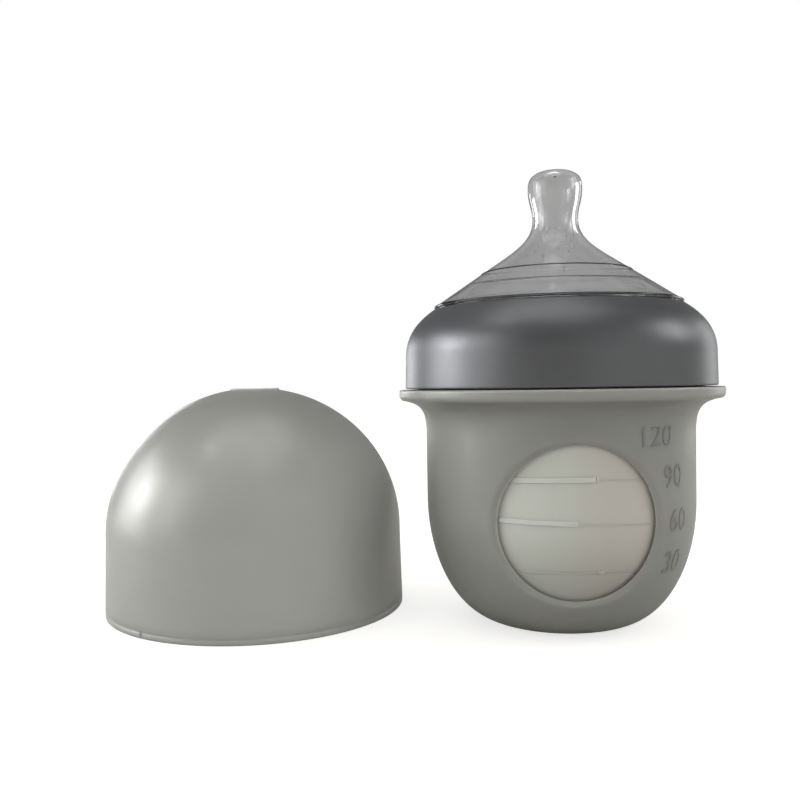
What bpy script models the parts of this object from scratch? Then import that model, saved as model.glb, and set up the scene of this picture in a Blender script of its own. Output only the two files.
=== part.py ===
"""Baby bottle with a soft inner pouch: outer shell, pouch, nipple, screw collar and dome cap.

Units are metres, +Z is up and the origin is the centre of the shell's flat base. The shell's round
window faces -Y. The dome cap stands beside the bottle on the same surface.
"""

import math

import bmesh
import bpy

MM = 0.001

# Driving dimensions.
SEGMENTS = 40
GAP = 0.3 * MM

BASE_RADIUS = 15.5 * MM
BODY_RADIUS = 33.75 * MM
BOWL_HEIGHT = 31.0 * MM
SHELL_WALL = 1.6 * MM
FLARE_START = 48.5 * MM
FLARE_END = (39.3 * MM, 55.8 * MM)
FLARE_BENDS = ((35.2 * MM, 54.9 * MM), (34.0 * MM, 53.4 * MM))
FLANGE_RADIUS = 40.6 * MM
FLANGE_TOP = 58.6 * MM
FLANGE_ROUND = 1.3 * MM
FLANGE_EDGE = 0.4 * MM
NECK_RADIUS = 35.75 * MM
NECK_BORE_RADIUS = 34.0 * MM
NECK_BORE_START = 56.9 * MM
NECK_TOP = 67.5 * MM
NECK_EDGE = 0.3 * MM

WINDOW_RADIUS = 17.6 * MM
WINDOW_HEIGHT = 28.4 * MM

THREAD_PITCH = 4.0 * MM
THREAD_TURNS = 1.0
THREAD_DEPTH = 1.2 * MM
THREAD_ROOT_HALF = 0.95 * MM
THREAD_CREST_HALF = 0.45 * MM
THREAD_BURIED = 0.5 * MM
NECK_THREAD_START = 62.3 * MM
THREAD_LEAD_GAP = 1.75 * MM

POUCH_WALL = 1.05 * MM
POUCH_BASE_WALL = 2.0 * MM
POUCH_LIP_RADIUS = 36.65 * MM
POUCH_LIP_THICKNESS = 1.3 * MM

NIPPLE_FLANGE_RADIUS = 36.75 * MM
NIPPLE_FLANGE_THICKNESS = 1.4 * MM
NIPPLE_ROOT_RADIUS = 34.8 * MM
NIPPLE_ROOT_HEIGHT = 72.3 * MM
NIPPLE_THROAT_HEIGHT = 76.3 * MM
NIPPLE_SKIRT = ((33.0 * MM, 71.6 * MM), (29.2 * MM, 75.8 * MM))
NIPPLE_CONE_END = (30.3 * MM, 80.35 * MM)
NIPPLE_CONE_START = (18.6 * MM, 88.25 * MM)
NIPPLE_INNER_CONE_END = (29.1 * MM, 79.0 * MM)
NIPPLE_INNER_CONE_START = (15.3 * MM, 88.2 * MM)
NIPPLE_CONE_LEAD = 9.5 * MM
NIPPLE_NECK_LEAD = 5.5 * MM
NIPPLE_NECK = (5.78 * MM, 101.7 * MM)
NIPPLE_INNER_NECK = (4.35 * MM, 101.3 * MM)
NIPPLE_BULB = (6.88 * MM, 109.4 * MM)
NIPPLE_INNER_BULB = (5.4 * MM, 109.2 * MM)
NIPPLE_TOP = 114.6 * MM
NIPPLE_INNER_TOP = 113.2 * MM
NIPPLE_TIP_POWER = 2.9
NIPPLE_BEAD = 0.6 * MM
NIPPLE_BEAD_EDGE = 0.1 * MM
NIPPLE_HOLE_RADIUS = 0.5 * MM

COLLAR_RADIUS = 39.0 * MM
COLLAR_TOP = (38.8 * MM, 67.8 * MM)
COLLAR_BORE_RADIUS = 37.5 * MM
COLLAR_BORE_TOP = 70.0 * MM
COLLAR_BORE_EDGE = 0.4 * MM
COLLAR_RIM_RADIUS = 31.6 * MM
COLLAR_RIM_HEIGHT = 79.0 * MM
COLLAR_BENDS = ((35.4 * MM, 76.4 * MM), (38.5 * MM, 73.0 * MM))
COLLAR_HOLE_RADIUS = 31.0 * MM
COLLAR_THROAT_HEIGHT = 72.6 * MM
COLLAR_HOLE_START = 77.2 * MM

CAP_CENTRE = (-81.7 * MM, 13.8 * MM)
CAP_RADIUS = 40.35 * MM
CAP_SIDE_RADIUS = 39.95 * MM
CAP_SIDE_HEIGHT = 21.0 * MM
CAP_HEIGHT = 59.65 * MM
CAP_WALL = 0.9 * MM
CAP_RECESS_RADIUS = 6.5 * MM
CAP_RECESS_DEPTH = 0.4 * MM
CAP_RECESS_START = 79
CAP_TAB_DIRECTION = math.radians(22.0)
CAP_TAB_WIDTH = math.radians(16.0)
CAP_TAB_DEPTH = 1.2 * MM
CAP_TAB_UNDERSIDE = 0.5 * MM
CAP_TAB_EDGE = 4.3 * MM
CAP_TAB_TOP = 8.0 * MM

POUCH_GAP = GAP + 0.05 * MM
POUCH_LIP_UNDERSIDE = NECK_TOP + GAP
POUCH_LIP_TOP = POUCH_LIP_UNDERSIDE + POUCH_LIP_THICKNESS
NIPPLE_FLANGE_UNDERSIDE = POUCH_LIP_TOP + GAP
NIPPLE_FLANGE_TOP = NIPPLE_FLANGE_UNDERSIDE + NIPPLE_FLANGE_THICKNESS
COLLAR_UNDERSIDE = FLANGE_TOP + GAP
COLLAR_SHOULDER = NIPPLE_FLANGE_TOP + GAP
NIPPLE_THROAT_RADIUS = COLLAR_HOLE_RADIUS - 0.35 * MM


# Outlines, as lists of (radius, height).

def arc(centre, radius, start, end, steps):
    """Points on a circular arc, angles in degrees from the +radius direction towards +Z."""
    points = []
    for i in range(steps + 1):
        angle = math.radians(start + (end - start) * i / steps)
        points.append((centre[0] + radius * math.cos(angle), centre[1] + radius * math.sin(angle)))
    return points


def oval(centre, size, start, end, steps, power=2):
    """Points on part of a superellipse, or of an ellipse at power 2, angles in degrees as for arc."""
    points = []
    for i in range(steps + 1):
        angle = math.radians(start + (end - start) * i / steps)
        across = math.copysign(abs(math.cos(angle)) ** (2 / power), math.cos(angle))
        up = math.copysign(abs(math.sin(angle)) ** (2 / power), math.sin(angle))
        points.append((centre[0] + size[0] * across, centre[1] + size[1] * up))
    return points


def bezier(a, b, c, d, steps):
    points = []
    for i in range(steps + 1):
        t = i / steps
        s = 1 - t
        weights = (s * s * s, 3 * s * s * t, 3 * s * t * t, t * t * t)
        points.append(tuple(sum(w * p[k] for w, p in zip(weights, (a, b, c, d))) for k in range(2)))
    return points


def bowl(wall, steps):
    """The rounded lower body, from the edge of the base up to the straight side, moved in by wall."""
    size = (BODY_RADIUS - BASE_RADIUS - wall, BOWL_HEIGHT - wall)
    return oval((BASE_RADIUS, BOWL_HEIGHT), size, 270, 360, steps)


# Objects.

def make_collection(name):
    collection = bpy.data.collections.new(name)
    bpy.context.scene.collection.children.link(collection)
    return collection


def make_material(name, colour, roughness, metallic=0.0, alpha=1.0):
    material = bpy.data.materials.new(name)
    material.use_nodes = True
    shader = material.node_tree.nodes["Principled BSDF"]
    shader.inputs["Base Color"].default_value = (*colour, 1.0)
    shader.inputs["Roughness"].default_value = roughness
    shader.inputs["Metallic"].default_value = metallic
    shader.inputs["Alpha"].default_value = alpha
    return material


def turned(name, outline, collection, closed=False, location=(0, 0, 0)):
    """A turned body. The outline runs down its outer side; unless closed, it starts and ends on the axis."""
    mesh = bpy.data.meshes.new(name)
    edges = [(i, i + 1) for i in range(len(outline) - 1)]
    if closed:
        edges.append((len(outline) - 1, 0))
    mesh.from_pydata([(radius, 0, height) for radius, height in outline], edges, [])
    obj = bpy.data.objects.new(name, mesh)
    obj.location = location
    collection.objects.link(obj)
    screw = obj.modifiers.new("Turn", "SCREW")
    screw.steps = SEGMENTS
    screw.render_steps = SEGMENTS
    screw.use_merge_vertices = True
    screw.merge_threshold = 0.00001
    screw.use_smooth_shade = True
    return obj


def swept(name, section, collection, turns, rise, steps):
    """A ring or helix made by turning a closed section about Z, with flat ends."""
    mesh = bpy.data.meshes.new(name)
    shape = bmesh.new()
    corners = [shape.verts.new((radius, 0, height)) for radius, height in section]
    face = shape.faces.new(corners)
    bmesh.ops.spin(
        shape,
        geom=[face],
        cent=(0, 0, 0),
        axis=(0, 0, 1),
        dvec=(0, 0, rise / steps),
        angle=turns * math.tau,
        steps=steps,
    )
    bmesh.ops.recalc_face_normals(shape, faces=shape.faces)
    shape.to_mesh(mesh)
    shape.free()
    obj = bpy.data.objects.new(name, mesh)
    collection.objects.link(obj)
    obj.hide_render = True
    obj.display_type = "WIRE"
    return obj


def combine(obj, other, operation):
    modifier = obj.modifiers.new(operation.title() + "_" + other.name, "BOOLEAN")
    modifier.object = other
    modifier.operation = operation
    modifier.solver = "EXACT"


# Sub-parts.

def shell_outside():
    """From the flange's top outer edge down to the edge of the flat base."""
    top = [(FLANGE_RADIUS - FLANGE_EDGE, FLANGE_TOP), (FLANGE_RADIUS, FLANGE_TOP - FLANGE_EDGE)]
    bead_centre = (FLANGE_RADIUS - FLANGE_ROUND, FLARE_END[1] + FLANGE_ROUND)
    bead = arc(bead_centre, FLANGE_ROUND, 0, -70, 3)
    flare = bezier(FLARE_END, *FLARE_BENDS, (BODY_RADIUS, FLARE_START), 6)
    return top + bead + flare + bowl(0, 10)[::-1]


def make_outer_shell(parts, cutters):
    """The hard cup with its window, flange and threaded neck."""
    inside = [(0, SHELL_WALL)] + bowl(SHELL_WALL, 8)
    inside += [(BODY_RADIUS - SHELL_WALL, FLARE_START), (NECK_BORE_RADIUS, NECK_BORE_START)]
    neck = [
        (NECK_BORE_RADIUS, NECK_TOP),
        (NECK_RADIUS - NECK_EDGE, NECK_TOP),
        (NECK_RADIUS, NECK_TOP - NECK_EDGE),
        (NECK_RADIUS, FLANGE_TOP),
    ]
    outline = inside + neck + shell_outside() + [(0, 0)]
    shell = turned("outer_shell", outline, parts)

    reach = 2 * BODY_RADIUS
    window = bpy.data.meshes.new("window_cutter")
    shape = bmesh.new()
    bmesh.ops.create_cone(
        shape, cap_ends=True, segments=SEGMENTS, radius1=WINDOW_RADIUS, radius2=WINDOW_RADIUS, depth=reach
    )
    shape.to_mesh(window)
    shape.free()
    cutter = bpy.data.objects.new("window_cutter", window)
    cutter.location = (0, -reach / 2 - BASE_RADIUS / 2, WINDOW_HEIGHT)
    cutter.rotation_euler = (math.pi / 2, 0, 0)
    cutter.hide_render = True
    cutter.display_type = "WIRE"
    cutters.objects.link(cutter)
    combine(shell, cutter, "DIFFERENCE")

    section = thread_section(NECK_RADIUS, 1, NECK_THREAD_START)
    thread = swept("neck_thread", section, cutters, THREAD_TURNS, THREAD_PITCH * THREAD_TURNS, SEGMENTS)
    combine(shell, thread, "UNION")
    return shell


def thread_section(radius, outwards, height):
    """A thread's tooth on a wall of this radius: outwards is 1 on a neck and -1 in a collar."""
    root = radius - outwards * THREAD_BURIED
    crest = radius + outwards * THREAD_DEPTH
    return [
        (root, height - THREAD_ROOT_HALF),
        (crest, height - THREAD_CREST_HALF),
        (crest, height + THREAD_CREST_HALF),
        (root, height + THREAD_ROOT_HALF),
    ]


def make_pouch(parts):
    """The soft inner pouch that holds the milk, hung from its lip on top of the neck."""
    outside = SHELL_WALL + POUCH_GAP
    inner = outside + POUCH_WALL
    mouth = NECK_BORE_RADIUS - POUCH_GAP
    floor = outside + POUCH_BASE_WALL
    inner_bowl = [point for point in bowl(inner, 9) if point[1] > floor + GAP]
    outline = [(0, floor), (BASE_RADIUS, floor)] + inner_bowl
    outline += [
        (BODY_RADIUS - inner, FLARE_START),
        (mouth - POUCH_WALL, NECK_BORE_START + POUCH_GAP),
        (mouth - POUCH_WALL, POUCH_LIP_TOP),
        (POUCH_LIP_RADIUS, POUCH_LIP_TOP),
        (POUCH_LIP_RADIUS, POUCH_LIP_UNDERSIDE),
        (mouth, POUCH_LIP_UNDERSIDE),
        (mouth, NECK_BORE_START + POUCH_GAP),
        (BODY_RADIUS - outside, FLARE_START),
    ]
    outline += bowl(outside, 9)[::-1]
    outline.append((0, outside))
    return turned("pouch", outline, parts)


def teat(bulb, top, neck, cone_start, steps):
    """From the feeding hole over the bulb and the neck to the start of the cone, on one side of the wall."""
    tip = oval(bulb, (bulb[0], top - bulb[1]), 86, 0, steps, NIPPLE_TIP_POWER)
    tip = [(radius - bulb[0], height) for radius, height in tip]
    tip[0] = (NIPPLE_HOLE_RADIUS, top)
    waist = (bulb[1] - neck[1]) * 0.4
    sides = bezier(bulb, (bulb[0], bulb[1] - waist), (neck[0], neck[1] + waist), neck, steps)
    along = math.dist(NIPPLE_CONE_START, NIPPLE_CONE_END)
    slope = [(start - end) / along for start, end in zip(NIPPLE_CONE_START, NIPPLE_CONE_END)]
    bend = (cone_start[0] + slope[0] * NIPPLE_CONE_LEAD, cone_start[1] + slope[1] * NIPPLE_CONE_LEAD)
    flare = bezier(neck, (neck[0], neck[1] - NIPPLE_NECK_LEAD), bend, cone_start, steps + 1)
    return tip + sides[1:] + flare[1:]


def make_nipple(parts):
    """The teat: bulb, neck and cone, a bead that snaps over the collar's rim, and a clamped flange."""
    outside = teat(NIPPLE_BULB, NIPPLE_TOP, NIPPLE_NECK, NIPPLE_CONE_START, 5)
    bead_bottom = COLLAR_RIM_HEIGHT + GAP
    outside += [
        NIPPLE_CONE_END,
        (NIPPLE_THROAT_RADIUS + NIPPLE_BEAD, bead_bottom + NIPPLE_BEAD),
        (NIPPLE_THROAT_RADIUS + NIPPLE_BEAD, bead_bottom + NIPPLE_BEAD_EDGE),
        (NIPPLE_THROAT_RADIUS, bead_bottom),
        (NIPPLE_THROAT_RADIUS, NIPPLE_THROAT_HEIGHT),
        (NIPPLE_ROOT_RADIUS - GAP, NIPPLE_ROOT_HEIGHT),
        (NIPPLE_ROOT_RADIUS, NIPPLE_FLANGE_TOP),
        (NIPPLE_FLANGE_RADIUS, NIPPLE_FLANGE_TOP),
        (NIPPLE_FLANGE_RADIUS, NIPPLE_FLANGE_UNDERSIDE),
        (NIPPLE_SKIRT[0][0], NIPPLE_FLANGE_UNDERSIDE),
        *NIPPLE_SKIRT,
        NIPPLE_INNER_CONE_END,
    ]
    inside = teat(NIPPLE_INNER_BULB, NIPPLE_INNER_TOP, NIPPLE_INNER_NECK, NIPPLE_INNER_CONE_START, 4)
    return turned("nipple", outside + inside[::-1], parts, closed=True)


def collar_outside():
    """From the rim round the opening down to the bottom edge."""
    rim = (COLLAR_RIM_RADIUS, COLLAR_RIM_HEIGHT)
    shoulder = bezier(rim, *COLLAR_BENDS, COLLAR_TOP, 9)
    return shoulder + [(COLLAR_RADIUS, COLLAR_UNDERSIDE)]


def make_collar(parts, cutters):
    """The screw ring that clamps the nipple's flange and the pouch's lip on the neck."""
    throat = NIPPLE_ROOT_RADIUS + COLLAR_BORE_EDGE
    inside = [
        (COLLAR_BORE_RADIUS, COLLAR_UNDERSIDE),
        (COLLAR_BORE_RADIUS, COLLAR_BORE_TOP),
        (COLLAR_BORE_RADIUS - COLLAR_BORE_EDGE, COLLAR_SHOULDER),
        (throat, COLLAR_SHOULDER),
        (throat - GAP, COLLAR_THROAT_HEIGHT),
        (COLLAR_HOLE_RADIUS, COLLAR_HOLE_START),
        (COLLAR_HOLE_RADIUS, COLLAR_RIM_HEIGHT),
    ]
    collar = turned("collar", collar_outside() + inside, parts, closed=True)
    start = NECK_THREAD_START - THREAD_LEAD_GAP
    section = thread_section(COLLAR_BORE_RADIUS, -1, start)
    thread = swept("collar_thread", section, cutters, THREAD_TURNS, THREAD_PITCH * THREAD_TURNS, SEGMENTS)
    combine(collar, thread, "UNION")
    return collar


def cap_outside():
    """From the middle of the shallow recess on top down to the rim."""
    size = (CAP_SIDE_RADIUS, CAP_HEIGHT - CAP_SIDE_HEIGHT)
    dome = oval((0, CAP_SIDE_HEIGHT), size, CAP_RECESS_START, 0, 10)
    floor = CAP_HEIGHT - CAP_RECESS_DEPTH
    recess = [(0, floor), (CAP_RECESS_RADIUS - CAP_RECESS_DEPTH, floor), (CAP_RECESS_RADIUS, CAP_HEIGHT)]
    return recess + dome + [(CAP_RADIUS, 0)]


def make_cap(parts, cutters):
    """The dome that covers the nipple and slides over the collar, with a lip to lift it by."""
    inner_height = CAP_HEIGHT - CAP_SIDE_HEIGHT - CAP_WALL - CAP_RECESS_DEPTH
    inner_dome = oval((0, CAP_SIDE_HEIGHT), (CAP_SIDE_RADIUS - CAP_WALL, inner_height), 0, 90, 10)
    inner_dome[-1] = (0, inner_dome[-1][1])
    outline = cap_outside() + [(CAP_RADIUS - CAP_WALL, 0)] + inner_dome
    place = (*CAP_CENTRE, 0)
    cap = turned("cap", outline, parts, location=place)

    root = CAP_RADIUS - CAP_WALL / 2
    section = [
        (root, CAP_TAB_UNDERSIDE),
        (CAP_RADIUS + GAP, CAP_TAB_UNDERSIDE),
        (CAP_RADIUS + CAP_TAB_DEPTH, CAP_TAB_EDGE - GAP),
        (CAP_RADIUS + CAP_TAB_DEPTH, CAP_TAB_EDGE + GAP),
        (root, CAP_TAB_TOP),
    ]
    tab = swept("cap_tab", section, cutters, CAP_TAB_WIDTH / math.tau, 0, 4)
    tab.location = place
    tab.rotation_euler = (0, 0, CAP_TAB_DIRECTION - CAP_TAB_WIDTH / 2)
    combine(cap, tab, "UNION")
    return cap


def main():
    for obj in list(bpy.data.objects):
        bpy.data.objects.remove(obj, do_unlink=True)
    parts = make_collection("baby_bottle")
    cutters = make_collection("cutters")

    grey_shell = make_material("shell_grey", (0.36, 0.36, 0.34), 0.35)
    grey_collar = make_material("collar_grey", (0.28, 0.28, 0.29), 0.32)
    milky_silicone = make_material("pouch_silicone", (0.62, 0.62, 0.58), 0.45, alpha=0.9)
    clear_silicone = make_material("nipple_silicone", (0.80, 0.80, 0.79), 0.15, alpha=0.4)
    grey_cap = make_material("cap_grey", (0.40, 0.40, 0.38), 0.35, alpha=0.85)

    made = (
        (make_outer_shell(parts, cutters), grey_shell),
        (make_pouch(parts), milky_silicone),
        (make_nipple(parts), clear_silicone),
        (make_collar(parts, cutters), grey_collar),
        (make_cap(parts, cutters), grey_cap),
    )
    for obj, material in made:
        obj.data.materials.append(material)


main()
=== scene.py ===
"""Looks of the baby bottle: satin outer shell with a round window, milky pouch, clear nipple,
satin screw collar and a translucent dome cap standing beside the bottle. Metres, +Z up."""

import math
import random

import bmesh
import bpy
from mathutils import Matrix, Vector


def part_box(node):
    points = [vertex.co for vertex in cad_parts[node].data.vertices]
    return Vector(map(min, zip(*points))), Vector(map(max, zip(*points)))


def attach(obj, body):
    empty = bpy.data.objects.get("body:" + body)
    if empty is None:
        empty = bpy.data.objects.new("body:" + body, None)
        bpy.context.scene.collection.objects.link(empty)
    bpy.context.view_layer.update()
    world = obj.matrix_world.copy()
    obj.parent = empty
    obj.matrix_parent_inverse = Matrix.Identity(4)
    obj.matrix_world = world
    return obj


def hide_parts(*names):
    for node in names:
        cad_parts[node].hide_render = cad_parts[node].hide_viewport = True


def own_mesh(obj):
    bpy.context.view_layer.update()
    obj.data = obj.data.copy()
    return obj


MM = 0.001
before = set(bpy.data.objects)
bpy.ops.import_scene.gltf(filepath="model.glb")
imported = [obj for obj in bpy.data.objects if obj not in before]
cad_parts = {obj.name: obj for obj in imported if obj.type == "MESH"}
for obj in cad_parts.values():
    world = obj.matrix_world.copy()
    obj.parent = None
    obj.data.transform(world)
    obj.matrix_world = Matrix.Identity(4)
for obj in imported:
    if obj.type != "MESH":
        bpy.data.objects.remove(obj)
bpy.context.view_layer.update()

SEGMENTS = 192
SHELL_SEGMENTS = 480
ON_AXIS = 1e-7

# Sizes read from the CAD parts in model.glb.
SHELL_LOW, SHELL_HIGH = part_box("outer_shell")
POUCH_LOW, POUCH_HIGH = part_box("pouch")
NIPPLE_LOW, NIPPLE_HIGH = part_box("nipple")
COLLAR_LOW, COLLAR_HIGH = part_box("collar")
CAP_LOW, CAP_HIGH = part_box("cap")
FLANGE_RADIUS = SHELL_HIGH[0]
NECK_TOP = SHELL_HIGH[2]
POUCH_LIP_RADIUS = POUCH_HIGH[0]
POUCH_LIP_TOP = POUCH_HIGH[2]
NIPPLE_FLANGE_RADIUS = NIPPLE_HIGH[0]
NIPPLE_FLANGE_UNDERSIDE = NIPPLE_LOW[2]
NIPPLE_TOP = NIPPLE_HIGH[2] - 0.5 * MM
COLLAR_RADIUS = COLLAR_HIGH[0]
COLLAR_UNDERSIDE = COLLAR_LOW[2]
COLLAR_RIM_HEIGHT = COLLAR_HIGH[2]
CAP_RADIUS = (CAP_HIGH[1] - CAP_LOW[1]) / 2
CAP_CENTRE = (CAP_LOW[0] + CAP_RADIUS, (CAP_LOW[1] + CAP_HIGH[1]) / 2)
CAP_HEIGHT = CAP_HIGH[2]

# Outer shell.
BASE_RADIUS = 15.5 * MM
BODY_RADIUS = 33.75 * MM
BOWL_HEIGHT = 31.0 * MM
SHELL_WALL = 1.6 * MM
FLARE_START = 48.5 * MM
FLARE_END = (39.3 * MM, 55.8 * MM)
FLARE_BENDS = ((35.2 * MM, 54.9 * MM), (34.0 * MM, 53.4 * MM))
FLANGE_TOP = 58.6 * MM
FLANGE_ROUND = 1.3 * MM
NECK_RADIUS = 35.75 * MM
NECK_BORE_RADIUS = 34.0 * MM
NECK_BORE_START = 56.9 * MM

# Window: a slightly wide circle. The shell's outside is dished round it, so that the pouch sits nearly flush.
WINDOW_RADIUS = 17.85 * MM
WINDOW_WIDENING = 1.025
WINDOW_HEIGHT = 28.4 * MM
WINDOW_EDGE = 0.2 * MM
WINDOW_DISH_WIDTH = 1.7 * MM
WINDOW_DISH_DEPTH = 1.0 * MM

# Screw thread.
THREAD_PITCH = 4.0 * MM
THREAD_DEPTH = 1.2 * MM
THREAD_FADE = 0.07
THREAD_HALF_ROOT = 0.95 * MM
THREAD_HALF_CREST = 0.45 * MM
NECK_THREAD_START = 62.3 * MM
THREAD_LEAD_GAP = 1.75 * MM

# Numerals on the shell, one step for each 30 mL: value, height, direction right of the window in degrees.
NUMERALS = ((30, 18.25 * MM, 44.2), (60, 28.0 * MM, 45.0), (90, 38.25 * MM, 41.5), (120, 47.75 * MM, 31.5))
NUMERAL_SIZE = 7.2 * MM
NUMERAL_RELIEF = 0.06 * MM
NUMERAL_BEVEL = 0.05 * MM
NUMERAL_OFFSET = -0.01 * MM

# Pouch.
POUCH_GAP = 0.35 * MM
POUCH_WALL = 1.05 * MM
POUCH_BASE_WALL = 2.0 * MM
POUCH_LIP_UNDERSIDE = NECK_TOP + 0.3 * MM

# Raised volume marks on the pouch: height at the left and right end, direction of both ends in degrees,
# half of the bar's height, relief, and the share of the length over which it rises from the wall.
# Each level is a bold bar, then a thin line.
POUCH_MARKS = (
    (38.2 * MM, 38.5 * MM, -123.0, -83.4, 0.6 * MM, 0.28 * MM, 0.3),
    (38.5 * MM, 38.5 * MM, -83.0, -82.4, 0.75 * MM, 0.28 * MM, 0.02),
    (38.45 * MM, 37.7 * MM, -82.4, -52.0, 0.14 * MM, 0.1 * MM, 0.02),
    (29.05 * MM, 28.7 * MM, -124.0, -90.6, 0.55 * MM, 0.28 * MM, 0.02),
    (28.6 * MM, 27.8 * MM, -90.6, -52.0, 0.14 * MM, 0.1 * MM, 0.02),
    (17.35 * MM, 17.4 * MM, -116.0, -81.6, 0.2 * MM, 0.16 * MM, 0.05),
    (17.35 * MM, 17.35 * MM, -81.6, -79.0, 0.42 * MM, 0.28 * MM, 0.02),
    (17.3 * MM, 17.1 * MM, -79.0, -62.0, 0.16 * MM, 0.12 * MM, 0.02),
)

# Nipple.
NIPPLE_HOLE_RADIUS = 0.5 * MM
NIPPLE_FLANGE_THICKNESS = 1.4 * MM
NIPPLE_ROOT = ((34.5 * MM, 72.3 * MM), (34.8 * MM, 71.2 * MM))
NIPPLE_THROAT = (30.65 * MM, 76.3 * MM)
NIPPLE_SKIRT = ((33.0 * MM, 71.6 * MM), (29.2 * MM, 75.8 * MM))
NIPPLE_CONE_START = (18.6 * MM, 88.25 * MM)
NIPPLE_CONE_END = (30.3 * MM, 80.35 * MM)
NIPPLE_INNER_CONE_END = (29.1 * MM, 79.0 * MM)
NIPPLE_INNER_CONE_START = (15.3 * MM, 88.2 * MM)
NIPPLE_CONE_LEAD = 9.5 * MM
NIPPLE_NECK_LEAD = 5.5 * MM
NIPPLE_NECK = (5.78 * MM, 101.7 * MM)
NIPPLE_INNER_NECK = (4.35 * MM, 101.3 * MM)
NIPPLE_BULB = (6.88 * MM, 109.4 * MM)
NIPPLE_INNER_BULB = (5.4 * MM, 109.2 * MM)
NIPPLE_INNER_TOP = 113.2 * MM
NIPPLE_TIP_POWER = 2.9
NIPPLE_BEAD = 0.6 * MM
RIDGE_PROFILE = ((-0.35 * MM, 0), (-0.2 * MM, 0.8), (0, 1), (0.2 * MM, 0.8), (0.35 * MM, 0))
OUTER_RIDGE = (0.03, 0.16 * MM)
INNER_RIDGE = (0.5, 0.18 * MM)
PIP_COUNT = 60
PIP_HEIGHTS = (87.5 * MM, 100.5 * MM)
PIP_SIZES = (0.12 * MM, 0.32 * MM)
PIP_STRETCHES = (1.0, 1.8)

# Collar.
COLLAR_TOP = (38.8 * MM, 67.8 * MM)
COLLAR_BORE_RADIUS = 37.5 * MM
COLLAR_RIM_RADIUS = 31.6 * MM
COLLAR_BENDS = ((35.4 * MM, 76.4 * MM), (38.5 * MM, 73.0 * MM))
COLLAR_HOLE_RADIUS = 31.0 * MM
COLLAR_SEAT_CLEARANCE = 1.7 * MM
COLLAR_SEAT_RADIUS = 35.2 * MM
COLLAR_INSIDE = ((34.9 * MM, 72.6 * MM), (33.0 * MM, 74.9 * MM), (COLLAR_HOLE_RADIUS, 77.2 * MM))

# Cap.
CAP_WALL = 0.9 * MM
CAP_SIDE_RADIUS = CAP_RADIUS - 0.4 * MM
CAP_SIDE_HEIGHT = 21.0 * MM
CAP_RECESS_RADIUS = 6.5 * MM
CAP_RECESS_DEPTH = 0.4 * MM
CAP_TAB_DIRECTION = math.radians(22.0)
CAP_TAB_WIDTH = math.radians(16.0)
CAP_TAB_DEPTH = 1.2 * MM
CAP_RIM_GROOVE = 0.12 * MM
CAP_MARK_DIRECTION = math.radians(-122.0)
CAP_MARK_WIDTH = 0.012
CAP_MARK_DEPTH = 0.2 * MM

# Studio. The floor is seen lighter than its paint, and the room is darker in gloss and through silicone.
FLOOR_HALF_SIZE = 3.0
FLOOR_COLOUR = (0.5, 0.49, 0.47)
FLOOR_LIFT = 0.7
ROOM_COLOUR = (1.0, 1.0, 0.96)
ROOM_LIGHT = 1.08
CEILING_LIGHT = 0.5
REFLECTED_COLOUR = (0.13, 0.13, 0.13)
THROUGH_COLOUR = (0.47, 0.47, 0.47)
LIGHT_AIM = (-40 * MM, 0, 45 * MM)
LIGHT_DISTANCE = 800 * MM
DAYLIGHT = (0.985, 0.99, 1.0)
LAMPLIGHT = (1.0, 1.0, 0.99)

# Camera.
CAMERA_PLACE = (-31.4 * MM, -215.8 * MM, 60.6 * MM)
CAMERA_HEADING = math.radians(2.43)
CAMERA_PITCH = math.radians(-1.21)
CAMERA_ROLL = math.radians(0.85)
CAMERA_LENS = 37.38


# Outlines, as lists of (radius, height).

def arc(centre, radius, start, end, steps):
    """Points on a circular arc, angles in degrees from the +radius direction towards +Z."""
    angles = [math.radians(start + (end - start) * i / steps) for i in range(steps + 1)]
    return [(centre[0] + radius * math.cos(a), centre[1] + radius * math.sin(a)) for a in angles]


def oval(centre, size, start, end, steps, power=2):
    """Points on part of a superellipse, or of an ellipse at power 2, angles in degrees as for arc."""
    points = []
    for i in range(steps + 1):
        angle = math.radians(start + (end - start) * i / steps)
        across = math.copysign(abs(math.cos(angle)) ** (2 / power), math.cos(angle))
        up = math.copysign(abs(math.sin(angle)) ** (2 / power), math.sin(angle))
        points.append((centre[0] + size[0] * across, centre[1] + size[1] * up))
    return points


def bezier(a, b, c, d, steps):
    points = []
    for i in range(steps + 1):
        t = i / steps
        s = 1 - t
        weights = (s * s * s, 3 * s * s * t, 3 * s * t * t, t * t * t)
        points.append(tuple(sum(w * p[k] for w, p in zip(weights, (a, b, c, d))) for k in range(2)))
    return points


def line(a, b, steps):
    return [tuple(a[k] + (b[k] - a[k]) * i / steps for k in range(2)) for i in range(steps + 1)]


def bowl(wall, steps):
    """The rounded lower body, from the edge of the base up to the straight side, moved in by wall."""
    size = (BODY_RADIUS - BASE_RADIUS - wall, BOWL_HEIGHT - wall)
    return oval((BASE_RADIUS, BOWL_HEIGHT), size, 270, 360, steps)


# Mesh helpers.

def new_object(name, mesh):
    obj = bpy.data.objects.new(name, mesh)
    bpy.context.scene.collection.objects.link(obj)
    return obj


def smooth(mesh, sharp_angle=40):
    mesh.shade_smooth()
    mesh.set_sharp_from_angle(angle=math.radians(sharp_angle))


def mesh_of(shape, name):
    """The bmesh as a mesh of its own."""
    mesh = bpy.data.meshes.new(name)
    shape.to_mesh(mesh)
    shape.free()
    return mesh


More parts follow.
